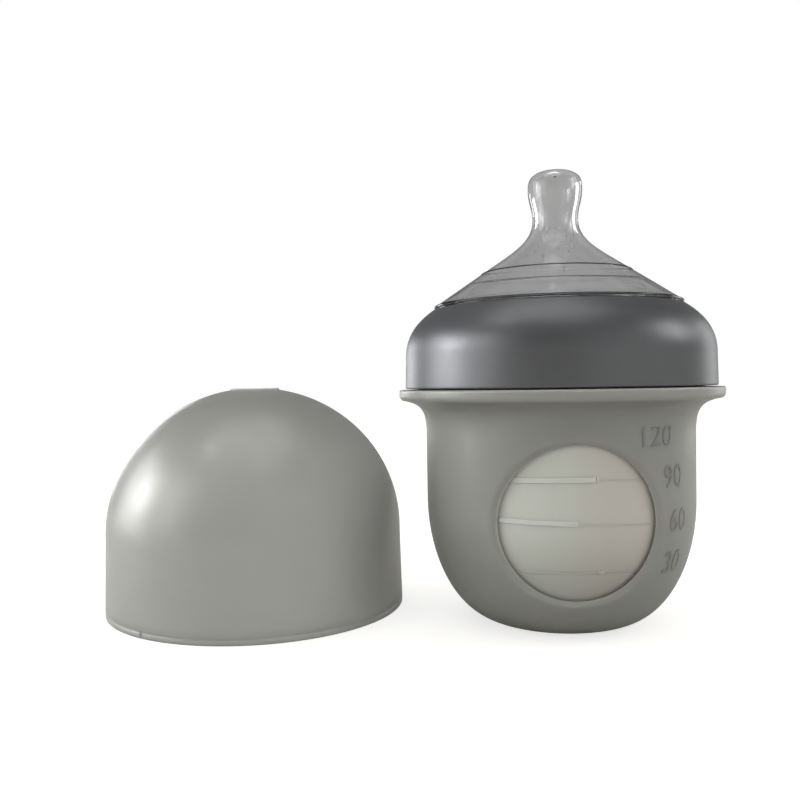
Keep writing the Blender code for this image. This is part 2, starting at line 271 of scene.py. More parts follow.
def lathe(name, outline, closed=False, centre=(0, 0), segments=SEGMENTS):
    """A turned mesh. The outline runs down its outer side; unless closed, it starts and ends on the axis."""
    shape = bmesh.new()
    rings = []
    for radius, height in outline:
        if radius < ON_AXIS:
            rings.append([shape.verts.new((centre[0], centre[1], height))] * segments)
            continue
        ring = []
        for j in range(segments):
            angle = math.tau * j / segments
            place = (centre[0] + radius * math.cos(angle), centre[1] + radius * math.sin(angle), height)
            ring.append(shape.verts.new(place))
        rings.append(ring)
    pairs = list(zip(rings, rings[1:]))
    if closed:
        pairs.append((rings[-1], rings[0]))
    for upper, lower in pairs:
        for j in range(segments):
            k = (j + 1) % segments
            corners = []
            for vertex in (upper[j], lower[j], lower[k], upper[k]):
                if vertex not in corners:
                    corners.append(vertex)
            if len(corners) > 2:
                shape.faces.new(corners)
    mesh = mesh_of(shape, name)
    smooth(mesh)
    return new_object(name, mesh)


def sweep(name, section_at, start, end, steps, centre=(0, 0), sharp_angle=40):
    """A bar swept round Z from start to end, in radians.

    section_at(share) gives its (radius, height) points at a share of the way.
    """
    shape = bmesh.new()
    rings = []
    for i in range(steps + 1):
        share = i / steps
        angle = start + (end - start) * share
        ring = []
        for radius, height in section_at(share):
            place = (centre[0] + radius * math.cos(angle), centre[1] + radius * math.sin(angle), height)
            ring.append(shape.verts.new(place))
        rings.append(ring)
    count = len(rings[0])
    for before, after in zip(rings, rings[1:]):
        for j in range(count):
            k = (j + 1) % count
            shape.faces.new((before[j], before[k], after[k], after[j]))
    shape.faces.new(rings[0][::-1])
    shape.faces.new(rings[-1])
    bmesh.ops.recalc_face_normals(shape, faces=shape.faces)
    mesh = mesh_of(shape, name)
    smooth(mesh, sharp_angle)
    return new_object(name, mesh)


def evaluated_mesh(obj):
    """The object's mesh with its modifiers or its text settings applied."""
    bpy.context.view_layer.update()
    graph = bpy.context.evaluated_depsgraph_get()
    return bpy.data.meshes.new_from_object(obj.evaluated_get(graph))


def apply_modifiers(obj):
    mesh = evaluated_mesh(obj)
    obj.modifiers.clear()
    obj.data = mesh


def thread(name, wall, outwards, start):
    """One turn of a screw thread whose ends fade into the wall; outwards is 1 on a neck, -1 in a collar."""

    def section(share):
        depth = THREAD_DEPTH * min(1, share / THREAD_FADE, (1 - share) / THREAD_FADE) + 0.02 * MM
        height = start + THREAD_PITCH * share
        root = wall - outwards * 0.2 * MM
        crest = wall + outwards * depth
        shoulder = wall + outwards * depth * 0.8
        return [
            (root, height - THREAD_HALF_ROOT),
            (shoulder, height - THREAD_HALF_CREST - 0.1 * MM),
            (crest, height - THREAD_HALF_CREST + 0.15 * MM),
            (crest, height + THREAD_HALF_CREST - 0.15 * MM),
            (shoulder, height + THREAD_HALF_CREST + 0.1 * MM),
            (root, height + THREAD_HALF_ROOT),
        ]

    return sweep(name, section, 0, math.tau, 150)


# Materials.

def node(tree, kind, **inputs):
    """A new node with these input values; From_Min stands for the input called From Min."""
    made = tree.nodes.new(kind)
    for key, value in inputs.items():
        made.inputs[key.replace("_", " ")].default_value = value
    return made


def surface_material(name):
    """A Principled material, its tree, and object coordinates in metres."""
    material = bpy.data.materials.new(name)
    material.use_nodes = True
    tree = material.node_tree
    shader = tree.nodes["Principled BSDF"]
    place = tree.nodes.new("ShaderNodeTexCoord").outputs["Object"]
    return material, tree, shader, place


def varied(tree, place, scale, low, high):
    """A value that wanders between low and high over the surface."""
    noise = node(tree, "ShaderNodeTexNoise", Scale=scale, Detail=3.0)
    tree.links.new(place, noise.inputs["Vector"])
    remap = node(tree, "ShaderNodeMapRange", From_Min=0.3, From_Max=0.7, To_Min=low, To_Max=high)
    tree.links.new(noise.outputs["Fac"], remap.inputs["Value"])
    return remap.outputs["Result"]


def blended(tree, colour, other, share):
    """A colour that turns into another one where the share goes from 0 to 1."""
    mix = tree.nodes.new("ShaderNodeMix")
    mix.data_type = "RGBA"
    mix.inputs["A"].default_value = (*colour, 1)
    mix.inputs["B"].default_value = (*other, 1)
    tree.links.new(share, mix.inputs["Factor"])
    return mix.outputs["Result"]


def mottled(tree, place, colour, other, scale):
    """A colour that drifts softly towards another one."""
    return blended(tree, colour, other, varied(tree, place, scale, 0.0, 1.0))


def along(tree, place, axis, **values):
    """A ramp along X, Y or Z from From_Min to From_Max."""
    parts = tree.nodes.new("ShaderNodeSeparateXYZ")
    tree.links.new(place, parts.inputs["Vector"])
    ramp = node(tree, "ShaderNodeMapRange", **values)
    tree.links.new(parts.outputs[axis], ramp.inputs["Value"])
    return ramp


def shaded(tree, place, tint, axis, start, end, share):
    """The tint, scaled by a share that sets in between two places along X, Y or Z: painted light and shade.
    """
    ramp = along(tree, place, axis, From_Min=start, From_Max=end, To_Min=1.0, To_Max=share)
    ramp.interpolation_type = "SMOOTHSTEP"
    scale = tree.nodes.new("ShaderNodeVectorMath")
    scale.operation = "SCALE"
    tree.links.new(tint, scale.inputs[0])
    tree.links.new(ramp.outputs["Result"], scale.inputs["Scale"])
    return scale.outputs["Vector"]


def grain(tree, place, shader, size, height, wide_size=None, wide_height=0.0):
    """Fine moulded texture, with an optional wider waviness under it."""
    fine = node(tree, "ShaderNodeTexNoise", Scale=1 / size, Detail=2.0)
    tree.links.new(place, fine.inputs["Vector"])
    bump = node(tree, "ShaderNodeBump", Strength=1.0, Distance=height)
    tree.links.new(fine.outputs["Fac"], bump.inputs["Height"])
    if wide_size:
        wide = node(tree, "ShaderNodeTexNoise", Scale=1 / wide_size, Detail=1.0)
        tree.links.new(place, wide.inputs["Vector"])
        under = node(tree, "ShaderNodeBump", Strength=1.0, Distance=wide_height)
        tree.links.new(wide.outputs["Fac"], under.inputs["Height"])
        tree.links.new(under.outputs["Normal"], bump.inputs["Normal"])
    tree.links.new(bump.outputs["Normal"], shader.inputs["Normal"])


def satin_plastic(name, colour, other, roughness, depth, grain_height, pearl, painted_shades=()):
    """Satin polypropylene: soft gloss, a fine moulded grain and light that reaches this depth.

    pearl is the share of metallic shine, and the last argument gives (axis, start, end, share) steps of
    painted light and shade in the colour.
    """
    material, tree, shader, place = surface_material(name)
    tint = mottled(tree, place, colour, other, 45.0)
    # Painted light and shade: steps that scale the colour.
    for axis, start, end, share in painted_shades:
        tint = shaded(tree, place, tint, axis, start, end, share)
    tree.links.new(tint, shader.inputs["Base Color"])
    rough = varied(tree, place, 900.0, roughness - 0.03, roughness + 0.03)
    tree.links.new(rough, shader.inputs["Roughness"])
    shader.inputs["Subsurface Weight"].default_value = 1.0
    shader.inputs["Subsurface Radius"].default_value = (1.0, 1.0, 0.9)
    shader.inputs["Subsurface Scale"].default_value = depth
    shader.inputs["IOR"].default_value = 1.49
    shader.inputs["Metallic"].default_value = pearl
    grain(tree, place, shader, 0.22 * MM, grain_height, 9 * MM, 0.02 * MM)
    return material


def clear_silicone(name, colour, roughness):
    """Clear silicone with a faint haze and soft ripples from the mould."""
    material, tree, shader, place = surface_material(name)
    duller = tuple(c * 0.96 for c in colour)
    tree.links.new(mottled(tree, place, colour, duller, 120.0), shader.inputs["Base Color"])
    rough = varied(tree, place, 300.0, roughness * 0.7, roughness * 1.4)
    tree.links.new(rough, shader.inputs["Roughness"])
    shader.inputs["Transmission Weight"].default_value = 1.0
    shader.inputs["IOR"].default_value = 1.41
    grain(tree, place, shader, 0.6 * MM, 0.002 * MM, 5 * MM, 0.03 * MM)
    return material


def milky_silicone(name, colour, other, roughness, painted_shades=()):
    """Matte milky silicone with light passing into it, in one tint on the left and a warmer one on the right,
    painted light from that side.
    """
    material, tree, shader, place = surface_material(name)
    # The tint turns warmer towards the right: painted light from that side.
    side = along(tree, place, "X", From_Min=-2 * MM, From_Max=7 * MM)
    tint = blended(tree, colour, other, side.outputs["Result"])
    # Painted light and shade: steps that scale the colour.
    for axis, start, end, share in painted_shades:
        tint = shaded(tree, place, tint, axis, start, end, share)
    tree.links.new(tint, shader.inputs["Base Color"])
    rough = varied(tree, place, 700.0, roughness - 0.05, roughness + 0.05)
    tree.links.new(rough, shader.inputs["Roughness"])
    shader.inputs["Subsurface Weight"].default_value = 0.5
    shader.inputs["Subsurface Radius"].default_value = (1.0, 0.95, 0.85)
    shader.inputs["Subsurface Scale"].default_value = 4 * MM
    shader.inputs["IOR"].default_value = 1.41
    grain(tree, place, shader, 0.3 * MM, 0.006 * MM)
    return material


SHELL_PLASTIC = satin_plastic(
    "shell_plastic", (0.312, 0.312, 0.297), (0.285, 0.287, 0.275),
    roughness=0.37, depth=4 * MM, grain_height=0.006 * MM, pearl=0.10,
)
COLLAR_PLASTIC = satin_plastic(
    "collar_plastic", (0.206, 0.21, 0.22), (0.19, 0.194, 0.205),
    roughness=0.39, depth=0.5 * MM, grain_height=0.008 * MM, pearl=0.8,
)
# The cap is lighter on its right, painted light, and darker towards its top, painted shade.
CAP_PAINTED_LIGHT_AND_SHADE = (("X", -115 * MM, -45 * MM, 1.3), ("Z", 38 * MM, 58 * MM, 0.66))
CAP_PLASTIC = satin_plastic(
    "cap_plastic", (0.435, 0.44, 0.413), (0.412, 0.417, 0.395),
    roughness=0.32, depth=5 * MM, grain_height=0.004 * MM, pearl=0.2, painted_shades=CAP_PAINTED_LIGHT_AND_SHADE,
)
NIPPLE_SILICONE = clear_silicone("nipple_silicone", (0.88, 0.88, 0.88), roughness=0.05)
# The pouch is darker towards its base: painted shade.
POUCH_PAINTED_SHADE = (("Z", 31 * MM, 9 * MM, 0.7),)
POUCH_SILICONE = milky_silicone(
    "pouch_silicone", (0.56, 0.57, 0.525), (0.545, 0.515, 0.475), roughness=0.45, painted_shades=POUCH_PAINTED_SHADE
)
# The marks' lighter tint is a painted highlight, for the light that the raised bars catch.
MARK_SILICONE_PAINTED_HIGHLIGHT = milky_silicone(
    "mark_silicone_painted_highlight", (0.73, 0.735, 0.68), (0.71, 0.68, 0.63), roughness=0.35, painted_shades=POUCH_PAINTED_SHADE
)


def place_piece(obj, material, slot, body, *replaced):
    """Give the piece its material and body, and say which CAD nodes it replaces; the slot is not used."""
    obj.data.materials.clear()
    obj.data.materials.append(material)
    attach(obj, body)
    if replaced:
        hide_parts(*replaced)


# Outer shell.

def shell_outline():
    inside = [(0, SHELL_WALL)] + line((6 * MM, SHELL_WALL), (BASE_RADIUS - 2 * MM, SHELL_WALL), 2)
    inside += bowl(SHELL_WALL, 24)
    wall = BODY_RADIUS - SHELL_WALL
    inside += line((wall, 34 * MM), (wall, FLARE_START - 1 * MM), 6)
    inside += bezier(
        (wall, FLARE_START), (wall, 52 * MM),
        (NECK_BORE_RADIUS, 53 * MM), (NECK_BORE_RADIUS, NECK_BORE_START), 8,
    )
    neck = line((NECK_BORE_RADIUS, 60 * MM), (NECK_BORE_RADIUS, NECK_TOP - 0.3 * MM), 4)
    neck += arc((NECK_BORE_RADIUS + 0.3 * MM, NECK_TOP - 0.3 * MM), 0.3 * MM, 150, 90, 2)
    neck += arc((NECK_RADIUS - 0.4 * MM, NECK_TOP - 0.4 * MM), 0.4 * MM, 90, 0, 4)
    neck += line((NECK_RADIUS, NECK_TOP - 2 * MM), (NECK_RADIUS, FLANGE_TOP + 0.5 * MM), 4)
    neck += arc((NECK_RADIUS + 0.5 * MM, FLANGE_TOP + 0.5 * MM), 0.5 * MM, 180, 270, 4)[1:]
    flange = arc((FLANGE_RADIUS - 0.45 * MM, FLANGE_TOP - 0.45 * MM), 0.45 * MM, 90, 0, 6)
    bead_centre = (FLANGE_RADIUS - FLANGE_ROUND, FLARE_END[1] + FLANGE_ROUND)
    flange += arc(bead_centre, FLANGE_ROUND, 0, -75, 9)
    flare = bezier(FLARE_END, *FLARE_BENDS, (BODY_RADIUS, FLARE_START), 20)
    side = line((BODY_RADIUS, FLARE_START - 1 * MM), (BODY_RADIUS, BOWL_HEIGHT + 1 * MM), 36)
    bottom = bowl(0, 96)[::-1] + line((BASE_RADIUS - 3 * MM, 0), (5 * MM, 0), 2) + [(0, 0)]
    return inside + neck + flange + flare + side + bottom


def cut_window(shell):
    """Cut the window through the shell's front wall, with a cylinder that stops short of the back wall."""
    reach = 60 * MM
    inner_end = 10 * MM
    shape = bmesh.new()
    bmesh.ops.create_cone(
        shape, cap_ends=True, segments=160, radius1=WINDOW_RADIUS, radius2=WINDOW_RADIUS, depth=reach
    )
    place = Matrix.Translation((0, -reach / 2 - inner_end, WINDOW_HEIGHT))
    turn = Matrix.Rotation(math.pi / 2, 4, "X")
    widen = Matrix.Diagonal((WINDOW_WIDENING, 1, 1, 1))
    bmesh.ops.transform(shape, matrix=place @ turn @ widen, verts=shape.verts)
    cutter = new_object("window_cutter", mesh_of(shape, "window_cutter"))
    cut = shell.modifiers.new("Window", "BOOLEAN")
    cut.object = cutter
    cut.operation = "DIFFERENCE"
    cut.solver = "EXACT"
    apply_modifiers(shell)
    bpy.data.objects.remove(cutter, do_unlink=True)


def dish_window(shell):
    """Sink the shell's outer surface towards the edge of the window, and leave its inside as it is."""
    for vertex in shell.data.vertices:
        x, y, height = vertex.co
        beyond = math.hypot(x / WINDOW_WIDENING, height - WINDOW_HEIGHT) - WINDOW_RADIUS
        radius = math.hypot(x, y)
        if y > 0 or beyond > WINDOW_DISH_WIDTH:
            continue
        if radius > body_surface(height)[0] - 0.1 * MM:
            share = 1 - max(0.0, beyond) / WINDOW_DISH_WIDTH
            sunk = 1 - WINDOW_DISH_DEPTH * share * share / radius
            vertex.co = (x * sunk, y * sunk, height)


def make_shell():
    shell = lathe("outer_shell_visual", shell_outline(), segments=SHELL_SEGMENTS)
    cut_window(shell)
    dish_window(shell)
    edge = shell.modifiers.new("WindowEdge", "BEVEL")
    edge.width = WINDOW_EDGE
    edge.segments = 3
    edge.limit_method = "ANGLE"
    edge.angle_limit = math.radians(50)
    apply_modifiers(shell)
    smooth(shell.data, 35)
    place_piece(shell, SHELL_PLASTIC, "shell_plastic", "shell_body", "outer_shell")
    neck = thread("neck_thread", NECK_RADIUS, 1, NECK_THREAD_START)
    place_piece(neck, SHELL_PLASTIC, "shell_plastic", "shell_body")


def body_surface(height):
    """The shell's outer radius and the slope of its surface, at a height on the bowl or the side."""
    if height >= BOWL_HEIGHT:
        return BODY_RADIUS, 0.0
    step = 0.05 * MM

    def radius(z):
        below = max(0.0, BOWL_HEIGHT - z) / BOWL_HEIGHT
        return BASE_RADIUS + (BODY_RADIUS - BASE_RADIUS) * math.sqrt(1 - below * below)

    return radius(height), (radius(height + step) - radius(height - step)) / (2 * step)


def make_numeral(value, height, direction):
    """A raised number wrapped on the shell, centred at this height and direction right of the window."""
    curve = bpy.data.curves.new("numeral", "FONT")
    curve.body = str(value)
    curve.align_x = "CENTER"
    curve.align_y = "CENTER"
    curve.size = NUMERAL_SIZE
    curve.offset = NUMERAL_OFFSET
    curve.extrude = NUMERAL_RELIEF
    curve.bevel_depth = NUMERAL_BEVEL
    curve.bevel_resolution = 2
    curve.resolution_u = 6
    flat = new_object("numeral", curve)
    mesh = evaluated_mesh(flat)
    bpy.data.objects.remove(flat, do_unlink=True)
    middle = math.radians(direction) - math.pi / 2
    for vertex in mesh.vertices:
        across, up, out = vertex.co
        base, slope = body_surface(height + up)
        radius = base + out
        angle = middle + across / base
        vertex.co = (radius * math.cos(angle), radius * math.sin(angle), height + up - out * slope)
    numeral = new_object(f"numeral_{value}", mesh)
    smooth(mesh, 40)
    place_piece(numeral, SHELL_PLASTIC, "shell_plastic", "shell_body")


# Pouch.

def make_pouch():
    outside = SHELL_WALL + POUCH_GAP
    inner = outside + POUCH_WALL
    mouth = NECK_BORE_RADIUS - POUCH_GAP
    floor = outside + POUCH_BASE_WALL
    inner_bowl = [point for point in bowl(inner, 30) if point[1] > floor + 0.3 * MM]
    inner_wall = BODY_RADIUS - inner
    outer_wall = BODY_RADIUS - outside
    outline = [(0, floor), (BASE_RADIUS - 2 * MM, floor), (BASE_RADIUS, floor)] + inner_bowl
    outline += line((inner_wall, 33 * MM), (inner_wall, FLARE_START - 1 * MM), 6)
    outline += bezier(
        (inner_wall, FLARE_START), (inner_wall, 52 * MM),
        (mouth - POUCH_WALL, 54 * MM), (mouth - POUCH_WALL, FLANGE_TOP), 6,
    )
    outline += arc((mouth - POUCH_WALL + 0.4 * MM, POUCH_LIP_TOP - 0.4 * MM), 0.4 * MM, 180, 90, 3)
    outline += arc((POUCH_LIP_RADIUS - 0.5 * MM, POUCH_LIP_TOP - 0.5 * MM), 0.5 * MM, 90, 0, 4)
    outline += arc((POUCH_LIP_RADIUS - 0.3 * MM, POUCH_LIP_UNDERSIDE + 0.3 * MM), 0.3 * MM, 0, -90, 3)
    outline += [(mouth, POUCH_LIP_UNDERSIDE)]
    outline += bezier(
        (mouth, FLANGE_TOP), (mouth, 54 * MM), (outer_wall, 53 * MM), (outer_wall, FLARE_START + 1 * MM), 6
    )
    outline += line((outer_wall, FLARE_START), (outer_wall, 33 * MM), 6)
    outline += bowl(outside, 40)[::-1]
    outline.append((0, outside))
    pouch = lathe("pouch_visual", outline)
    place_piece(pouch, POUCH_SILICONE, "pouch_silicone", "shell_body", "pouch")
    return pouch


def pouch_surface(height):
    """The pouch's outer radius at a height."""
    wall = SHELL_WALL + POUCH_GAP
    below = max(0.0, BOWL_HEIGHT - height) / (BOWL_HEIGHT - wall)
    return BASE_RADIUS + (BODY_RADIUS - BASE_RADIUS - wall) * math.sqrt(max(0.0, 1 - below * below))


def make_pouch_marks():
    """The raised volume marks on the front of the pouch, as one mesh."""
    marks = bmesh.new()
    for left, right, start, end, half, relief, lead in POUCH_MARKS:

        def section(share):
            height = left + (right - left) * share
            proud = relief * min(1.0, 0.05 + share / lead)
            round_off = min(0.3 * half, 0.1 * MM)
            rows = (
                (-half, -0.2 * MM),
                (-half, proud - round_off),
                (-half + round_off, proud),
                (half - round_off, proud),
                (half, proud - round_off),
                (half, -0.2 * MM),
            )
            return [(pouch_surface(height + up) + out, height + up) for up, out in rows]

        bar = sweep("pouch_mark", section, math.radians(start), math.radians(end), 40)
        marks.from_mesh(bar.data)
        bpy.data.objects.remove(bar, do_unlink=True)
    piece = new_object("pouch_marks", mesh_of(marks, "pouch_marks"))
    place_piece(piece, MARK_SILICONE_PAINTED_HIGHLIGHT, "pouch_silicone", "shell_body")
    return piece


# Nipple.

def teat(bulb, top, neck, cone_start, steps):
    """One side of the wall, from the feeding hole over the bulb and the neck to the start of the cone."""
    tip = oval(bulb, (bulb[0], top - bulb[1]), 88, 0, steps, NIPPLE_TIP_POWER)
    tip = [(radius - bulb[0], height) for radius, height in tip]
    tip[0] = (NIPPLE_HOLE_RADIUS, tip[0][1])
    waist = (bulb[1] - neck[1]) * 0.4
    sides = bezier(bulb, (bulb[0], bulb[1] - waist), (neck[0], neck[1] + waist), neck, steps)
    length = math.dist(NIPPLE_CONE_START, NIPPLE_CONE_END)
    slope = [(start - end) / length for start, end in zip(NIPPLE_CONE_START, NIPPLE_CONE_END)]
    bend = (cone_start[0] + slope[0] * NIPPLE_CONE_LEAD, cone_start[1] + slope[1] * NIPPLE_CONE_LEAD)
    flare = bezier(neck, (neck[0], neck[1] - NIPPLE_NECK_LEAD), bend, cone_start, steps + 6)
    return tip + sides[1:] + flare[1:]


def ridged(start, end, share, proud):
    """A straight line with a low rounded ring standing out of it at this share of its length."""
    length = math.dist(start, end)
    ahead = [(b - a) / length for a, b in zip(start, end)]
    out = (-ahead[1], ahead[0])
    points = []
    for offset, lift in RIDGE_PROFILE:
        at = share * length + offset
        points.append(tuple(start[k] + ahead[k] * at + out[k] * lift * proud for k in range(2)))
    return line(start, points[0], 4)[1:] + points[1:-1] + line(points[-1], end, 12)


def inner_teat():
    return teat(NIPPLE_INNER_BULB, NIPPLE_INNER_TOP, NIPPLE_INNER_NECK, NIPPLE_INNER_CONE_START, 20)


def nipple_outline():
    outside = teat(NIPPLE_BULB, NIPPLE_TOP, NIPPLE_NECK, NIPPLE_CONE_START, 24)
    outside += ridged(NIPPLE_CONE_START, NIPPLE_CONE_END, *OUTER_RIDGE)
    bead_bottom = COLLAR_RIM_HEIGHT + 0.3 * MM
    bead_centre = (NIPPLE_THROAT[0] + 0.2 * MM, bead_bottom + 0.4 * MM)
    outside += arc(bead_centre, 0.4 * MM, 50, -90, 8)
    outside += [(NIPPLE_THROAT[0] + 0.05 * MM, bead_bottom + 0.03 * MM)]
    outside += line((NIPPLE_THROAT[0], bead_bottom - 0.3 * MM), NIPPLE_THROAT, 3)
    outside += line(NIPPLE_THROAT, NIPPLE_ROOT[0], 3)[1:] + [NIPPLE_ROOT[1]]
    flange_top = NIPPLE_FLANGE_UNDERSIDE + NIPPLE_FLANGE_THICKNESS
    outside += [(NIPPLE_ROOT[1][0] + 0.3 * MM, flange_top)]
    outside += arc((NIPPLE_FLANGE_RADIUS - 0.4 * MM, flange_top - 0.4 * MM), 0.4 * MM, 90, 0, 4)
    outside += arc((NIPPLE_FLANGE_RADIUS - 0.4 * MM, NIPPLE_FLANGE_UNDERSIDE + 0.4 * MM), 0.4 * MM, 0, -90, 4)
    inside = [(NIPPLE_SKIRT[0][0], NIPPLE_FLANGE_UNDERSIDE)] + line(*NIPPLE_SKIRT, 4)
    inside += line((NIPPLE_SKIRT[1][0], 76.6 * MM), NIPPLE_INNER_CONE_END, 2)
    inside += ridged(NIPPLE_INNER_CONE_END, NIPPLE_INNER_CONE_START, *INNER_RIDGE)[:-1]
    inside += inner_teat()[::-1]
    return outside + inside


def make_nipple_pips():
    """Tiny beads inside the neck, which keep its walls from sticking together when it is squeezed."""
    inner = inner_teat()
    chance = random.Random(5)
    pips = bmesh.new()
    for _ in range(PIP_COUNT):
        height = chance.uniform(*PIP_HEIGHTS)
        above = min(inner, key=lambda point: abs(point[1] - height))
        size = chance.uniform(*PIP_SIZES)
        angle = chance.uniform(0, math.tau)
        radius = above[0] - 0.5 * size
        place = Matrix.Translation((radius * math.cos(angle), radius * math.sin(angle), above[1]))
        stretch = Matrix.Diagonal((1, 1, chance.uniform(*PIP_STRETCHES), 1))
        bmesh.ops.create_icosphere(pips, subdivisions=2, radius=size, matrix=place @ stretch)
    mesh = mesh_of(pips, "nipple_pips")
    smooth(mesh, 60)
    place_piece(new_object("nipple_pips", mesh), NIPPLE_SILICONE, "nipple_silicone", "nipple_body")


def make_nipple():
    nipple = lathe("nipple_visual", nipple_outline(), closed=True)
    place_piece(nipple, NIPPLE_SILICONE, "nipple_silicone", "nipple_body", "nipple")
    # Thin clear silicone hardly darkens what is inside it.
    nipple.visible_shadow = False
    make_nipple_pips()


# Collar.

def make_collar():
    rim_round = 0.3 * MM
    rim = arc((COLLAR_HOLE_RADIUS + rim_round, COLLAR_RIM_HEIGHT - rim_round), rim_round, 180, 75, 5)
    shoulder = bezier((COLLAR_RIM_RADIUS, COLLAR_RIM_HEIGHT - 0.06 * MM), *COLLAR_BENDS, COLLAR_TOP, 36)
    outline = rim + shoulder
    outline += line((COLLAR_TOP[0] + 0.01 * MM, 67 * MM), (COLLAR_RADIUS, COLLAR_UNDERSIDE + 0.6 * MM), 6)
    outline += arc((COLLAR_RADIUS - 0.35 * MM, COLLAR_UNDERSIDE + 0.35 * MM), 0.35 * MM, 0, -90, 4)
    outline += arc((COLLAR_BORE_RADIUS + 0.3 * MM, COLLAR_UNDERSIDE + 0.3 * MM), 0.3 * MM, 270, 180, 3)
    outline += line((COLLAR_BORE_RADIUS, 60 * MM), (COLLAR_BORE_RADIUS, 70 * MM), 4)
    seat_height = NIPPLE_FLANGE_UNDERSIDE + COLLAR_SEAT_CLEARANCE
    outline += [
        (COLLAR_BORE_RADIUS - 0.4 * MM, seat_height),
        (COLLAR_SEAT_RADIUS, seat_height),
        *COLLAR_INSIDE,
        (COLLAR_HOLE_RADIUS, COLLAR_RIM_HEIGHT - 0.8 * MM),
    ]
    collar = lathe("collar_visual", outline, closed=True)
    place_piece(collar, COLLAR_PLASTIC, "collar_plastic", "collar_body", "collar")
    inner = thread("collar_thread", COLLAR_BORE_RADIUS, -1, NECK_THREAD_START - THREAD_LEAD_GAP)
    place_piece(inner, COLLAR_PLASTIC, "collar_plastic", "collar_body")


# Cap.

def cap_outline():
    floor = CAP_HEIGHT - CAP_RECESS_DEPTH
    dome_size = (CAP_SIDE_RADIUS, CAP_HEIGHT - CAP_SIDE_HEIGHT)
    dome = oval((0, CAP_SIDE_HEIGHT), dome_size, 80, 0, 56)
    recess = [(0, floor)] + line((2 * MM, floor), (CAP_RECESS_RADIUS - 0.5 * MM, floor), 2)
    recess += [(CAP_RECESS_RADIUS - 0.15 * MM, floor + 0.12 * MM), (CAP_RECESS_RADIUS, CAP_HEIGHT - 0.1 * MM)]
    recess += [(CAP_RECESS_RADIUS + 0.15 * MM, CAP_HEIGHT)]
    side = line((CAP_SIDE_RADIUS, CAP_SIDE_HEIGHT - 1 * MM), (CAP_RADIUS, 1.9 * MM), 12)
    groove = CAP_RADIUS - CAP_RIM_GROOVE
    side += [(groove, 1.7 * MM), (groove, 1.45 * MM), (CAP_RADIUS, 1.25 * MM), (CAP_RADIUS, 0.5 * MM)]
    rim = arc((CAP_RADIUS - 0.25 * MM, 0.25 * MM), 0.25 * MM, 0, -90, 3)
    rim += arc((CAP_RADIUS - CAP_WALL + 0.25 * MM, 0.25 * MM), 0.25 * MM, 270, 180, 3)
    inner_side = line(
        (CAP_RADIUS - CAP_WALL, 1 * MM), (CAP_SIDE_RADIUS - CAP_WALL, CAP_SIDE_HEIGHT - 1 * MM), 10
    )
    inner_size = (CAP_SIDE_RADIUS - CAP_WALL, CAP_HEIGHT - CAP_SIDE_HEIGHT - CAP_WALL - CAP_RECESS_DEPTH)
    inner_dome = oval((0, CAP_SIDE_HEIGHT), inner_size, 0, 90, 48)
    inner_dome[-1] = (0, inner_dome[-1][1])
    return recess + dome + side + rim + inner_side + inner_dome


def gate_mark(share):
    """Section of the small moulding mark on the cap's rim."""
    proud = CAP_MARK_DEPTH * math.sin(math.pi * share) if 0 < share < 1 else 0.0
    root = CAP_RADIUS - CAP_WALL / 2
    crest = CAP_RADIUS + proud
    return [(root, 0.5 * MM), (crest, 0.6 * MM), (crest, 2.1 * MM), (root, 2.2 * MM)]


def lift_lip(share):
    """Section of the lip by which the cap is lifted: it swells out in the middle and fades at both ends."""
    proud = CAP_TAB_DEPTH * math.sin(math.pi * share) ** 0.5 if 0 < share < 1 else 0.0
    root = CAP_RADIUS - CAP_WALL / 2
    return [
        (root, 0.5 * MM),
        (CAP_RADIUS + 0.25 * proud, 0.5 * MM),
        (CAP_RADIUS + 0.75 * proud, 2.6 * MM),
        (CAP_RADIUS + proud, 3.9 * MM),
        (CAP_RADIUS + proud, 4.6 * MM),
        (CAP_RADIUS + 0.6 * proud, 5.6 * MM),
        (CAP_RADIUS + 0.2 * proud, 6.8 * MM),
        (root, 8.0 * MM),
    ]


def make_cap():
    cap = lathe("cap_visual", cap_outline(), centre=CAP_CENTRE)
    place_piece(cap, CAP_PLASTIC, "cap_plastic", "cap_body", "cap")
    mark_end = CAP_MARK_DIRECTION + CAP_MARK_WIDTH
    mark = sweep("cap_gate_mark", gate_mark, CAP_MARK_DIRECTION, mark_end, 6, CAP_CENTRE, 60)
    place_piece(mark, CAP_PLASTIC, "cap_plastic", "cap_body")
    start = CAP_TAB_DIRECTION - CAP_TAB_WIDTH / 2
    tab = sweep("cap_lift_lip", lift_lip, start, start + CAP_TAB_WIDTH, 24, CAP_CENTRE, 60)
    place_piece(tab, CAP_PLASTIC, "cap_plastic", "cap_body")


# Floor, light and camera.

def area_light(name, azimuth, elevation, size, power, colour):
    """A soft light aimed at the object, with its azimuth 0 in front, 90 on the left and 180 behind."""
    data = bpy.data.lights.new(name, "AREA")
    data.shape = "RECTANGLE"
    data.size, data.size_y = size
    data.energy = power
    data.color = colour
    turn, lift = math.radians(azimuth), math.radians(elevation)
    away = Vector((-math.sin(turn) * math.cos(lift), -math.cos(turn) * math.cos(lift), math.sin(lift)))
    light = bpy.data.objects.new(name, data)
    light.location = Vector(LIGHT_AIM) + away * LIGHT_DISTANCE
    light.rotation_euler = (-away).to_track_quat("-Z", "Y").to_euler()
    bpy.context.scene.collection.objects.link(light)


